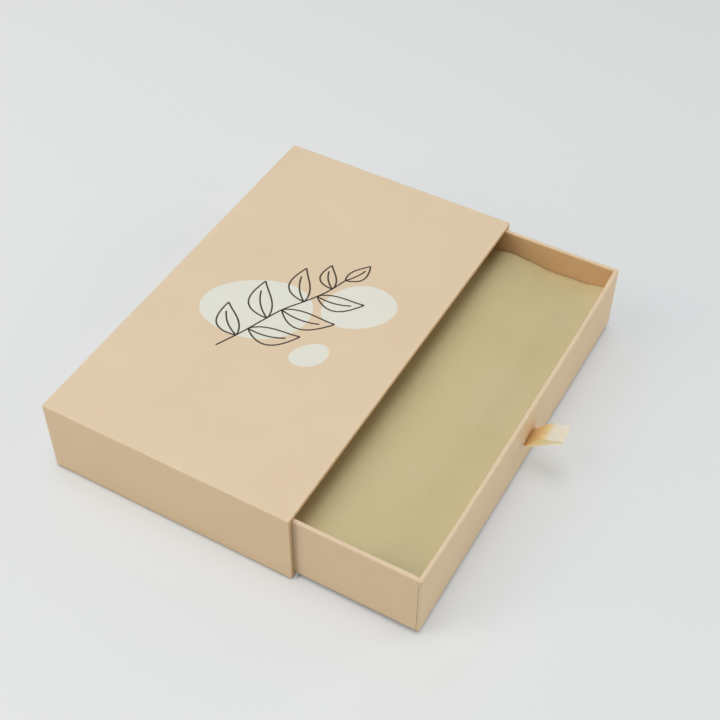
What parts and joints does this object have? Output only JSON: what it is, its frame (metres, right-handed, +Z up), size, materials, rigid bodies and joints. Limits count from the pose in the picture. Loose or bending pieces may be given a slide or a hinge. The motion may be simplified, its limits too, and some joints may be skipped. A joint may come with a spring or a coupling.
{
  "type": "sliding drawer gift box",
  "caption": "Rigid paper-covered gift box: an open-ended sleeve and a tray that slides out of it by a ribbon pull.",
  "frame": {"origin": "on the table, under the middle of the sleeve's base", "axes": "+X runs out of the sleeve's mouth, the way that the tray is drawn; +Y runs across the box; +Z is up"},
  "size_m": [0.2223, 0.23, 0.045],
  "materials": {
    "greyboard": "matte",
    "gummed_stay": "matte",
    "peach_wrap": "matte",
    "lining_paper": "matte",
    "cover_paper": "matte",
    "gold_ribbon": "satin",
    "pad_foam": "matte",
    "kraft_tissue": "matte"
  },
  "bodies": {
    "sleeve": {"sleeve_base_board": "greyboard", "sleeve_top_board": "greyboard", "sleeve_left_board": "greyboard", "sleeve_right_board": "greyboard", "sleeve_back_board": "greyboard", "sleeve_stay_1": "gummed_stay", "sleeve_stay_2": "gummed_stay", "sleeve_stay_3": "gummed_stay", "sleeve_stay_4": "gummed_stay", "sleeve_wrap": "peach_wrap", "sleeve_lining": "lining_paper", "sleeve_base_paper": "cover_paper", "sleeve_back_paper": "cover_paper"},
    "tray": {"tray_base_board": "greyboard", "tray_left_board": "greyboard", "tray_right_board": "greyboard", "tray_back_board": "greyboard", "tray_front_board": "greyboard", "tray_stay_1": "gummed_stay", "tray_stay_2": "gummed_stay", "tray_stay_3": "gummed_stay", "tray_stay_4": "gummed_stay", "tray_wrap": "peach_wrap", "tray_lining": "lining_paper", "tray_base_paper": "cover_paper", "pull_ribbon": "gold_ribbon", "ribbon_patch": "lining_paper", "cushion_pad": "pad_foam", "kraft_sheet": "kraft_tissue"}
  },
  "joints": [
    {"name": "tray_slide", "type": "slide", "parent": "sleeve", "child": "tray", "axis": [1, 0, 0], "range_m": [-0.065, 0.07]}
  ]
}
